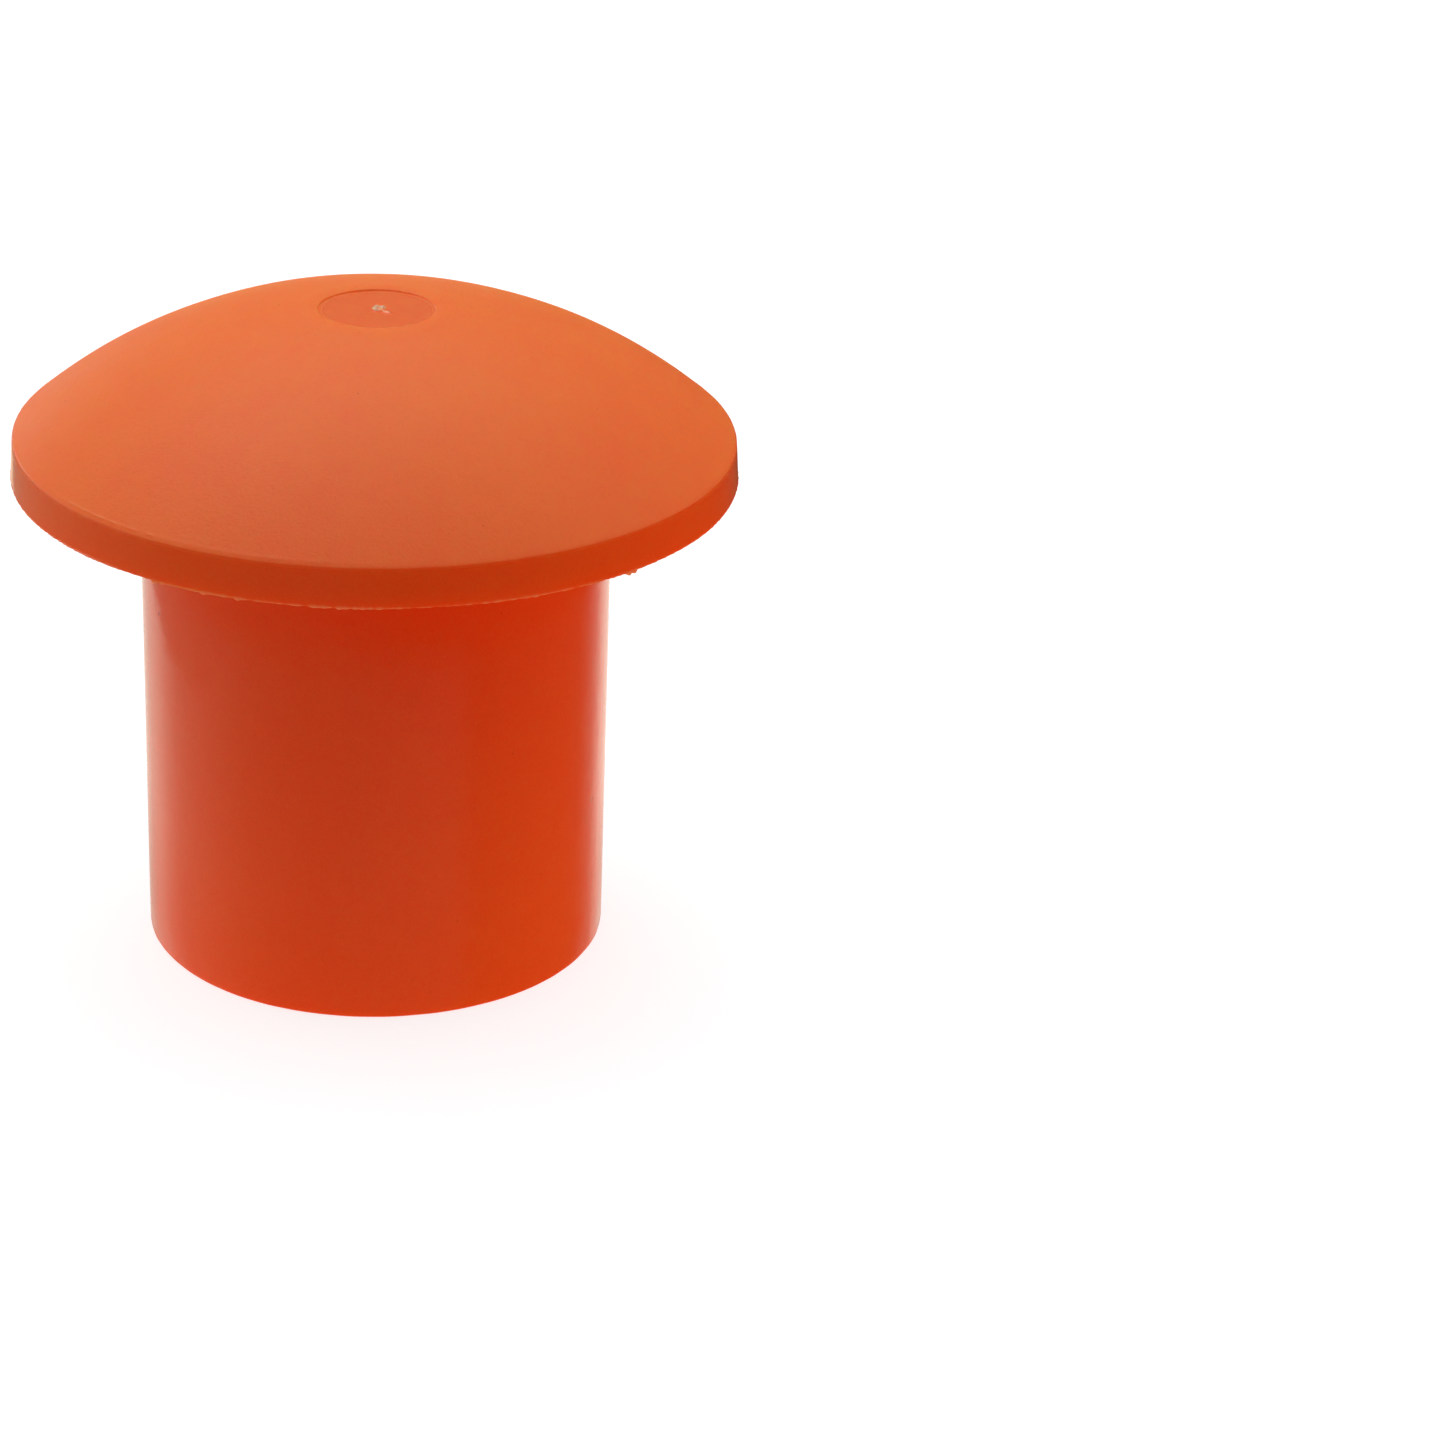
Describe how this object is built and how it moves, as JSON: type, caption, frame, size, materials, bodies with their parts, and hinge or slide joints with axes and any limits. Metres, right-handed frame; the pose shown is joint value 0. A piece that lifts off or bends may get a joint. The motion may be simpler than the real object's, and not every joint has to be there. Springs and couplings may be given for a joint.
{
  "type": "mushroom end cap",
  "caption": "Domed plastic safety cap with a round open sleeve and inner grip fins, pushed over the end of a bar, stake or post to blunt it.",
  "frame": {"origin": "centre of the sleeve's open mouth, in the plane of its rim", "axes": "+Z along the sleeve's axis, from the mouth to the crown of the dome; the grip fins lie on the X and Y axes"},
  "size_m": [0.0504, 0.0504, 0.0467],
  "materials": {
    "orange_polyethylene": "satin moulded polyethylene, slightly translucent"
  },
  "bodies": {
    "root": {"mushroom_cap": "orange_polyethylene"}
  },
  "joints": []
}
